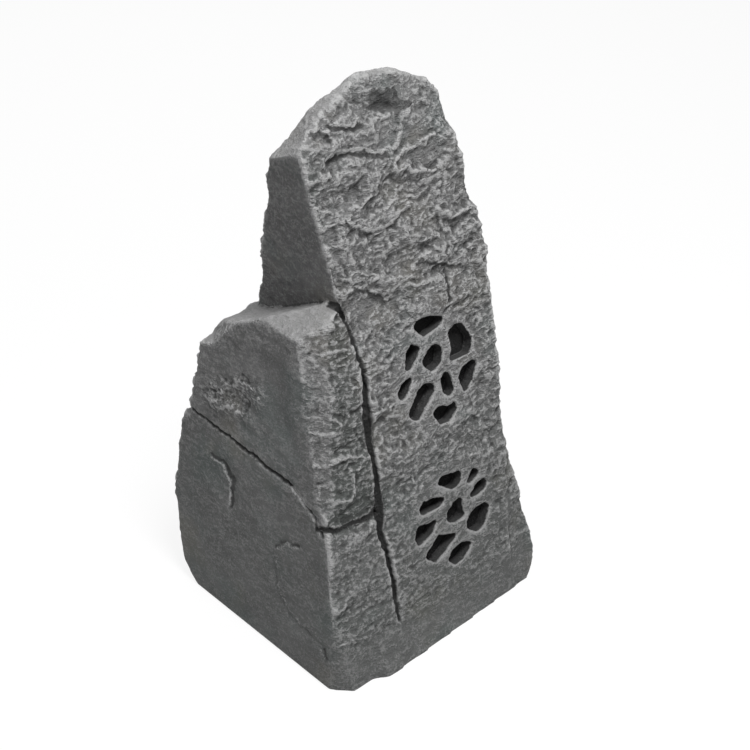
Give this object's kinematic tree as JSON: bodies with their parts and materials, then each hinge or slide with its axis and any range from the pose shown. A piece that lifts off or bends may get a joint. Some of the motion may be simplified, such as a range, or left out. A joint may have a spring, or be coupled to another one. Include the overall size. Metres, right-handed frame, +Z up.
{
  "type": "rock shaped garden speaker",
  "caption": "Weatherproof garden loudspeaker moulded as a leaning slate rock, with leaf-shaped grille holes over its drivers, a closed base and a cable gland in the back.",
  "frame": {"origin": "on the ground, below the middle of the rock's footprint", "axes": "+Z up, -Y out of the grille face, +X to the right seen from the front"},
  "size_m": [0.2866, 0.2926, 0.5489],
  "materials": {
    "rock_resin": "rough cast slate look",
    "black_plastic": "fine grain",
    "rubber": "matt",
    "zinc_steel": "zinc plated",
    "basket_steel": "satin black",
    "cone_plastic": "satin",
    "spider_cloth": "resin-set cloth",
    "copper": "enamelled wire",
    "ferrite": "sintered",
    "tinned_brass": "tinned",
    "black_foam": "open foam"
  },
  "bodies": {
    "housing": {"rock_shell": "rock_resin", "base_plate": "black_plastic", "base_gasket": "rubber", "base_screws": "zinc_steel", "gland_body": "black_plastic", "gland_ring": "rubber", "gland_locknut": "black_plastic", "gland_seal": "rubber", "gland_cap": "black_plastic", "upper_foam_screen": "black_foam", "upper_frame_gasket": "rubber", "upper_basket": "basket_steel", "upper_surround": "rubber", "upper_spider": "spider_cloth", "upper_top_plate": "zinc_steel", "upper_magnet": "ferrite", "upper_yoke": "zinc_steel", "upper_terminal_strip": "black_plastic", "upper_terminal_tags": "tinned_brass", "upper_driver_screws": "zinc_steel", "lower_foam_screen": "black_foam", "lower_frame_gasket": "rubber", "lower_basket": "basket_steel", "lower_surround": "rubber", "lower_spider": "spider_cloth", "lower_top_plate": "zinc_steel", "lower_magnet": "ferrite", "lower_yoke": "zinc_steel", "lower_terminal_strip": "black_plastic", "lower_terminal_tags": "tinned_brass", "lower_driver_screws": "zinc_steel"},
    "upper_cone_group": {"upper_cone": "cone_plastic", "upper_dust_cap": "cone_plastic", "upper_voice_coil": "copper"},
    "lower_cone_group": {"lower_cone": "cone_plastic", "lower_dust_cap": "cone_plastic", "lower_voice_coil": "copper"}
  },
  "joints": [
    {"name": "upper_cone_slide", "type": "slide", "parent": "housing", "child": "upper_cone_group", "axis": [0, -0.9659, 0.2588], "range_m": [-0.003, 0.003], "stiffness_N_per_m": 1500, "deforming": ["upper_surround", "upper_spider"]},
    {"name": "lower_cone_slide", "type": "slide", "parent": "housing", "child": "lower_cone_group", "axis": [0, -0.9659, 0.2588], "range_m": [-0.003, 0.003], "stiffness_N_per_m": 1500, "deforming": ["lower_surround", "lower_spider"]}
  ]
}
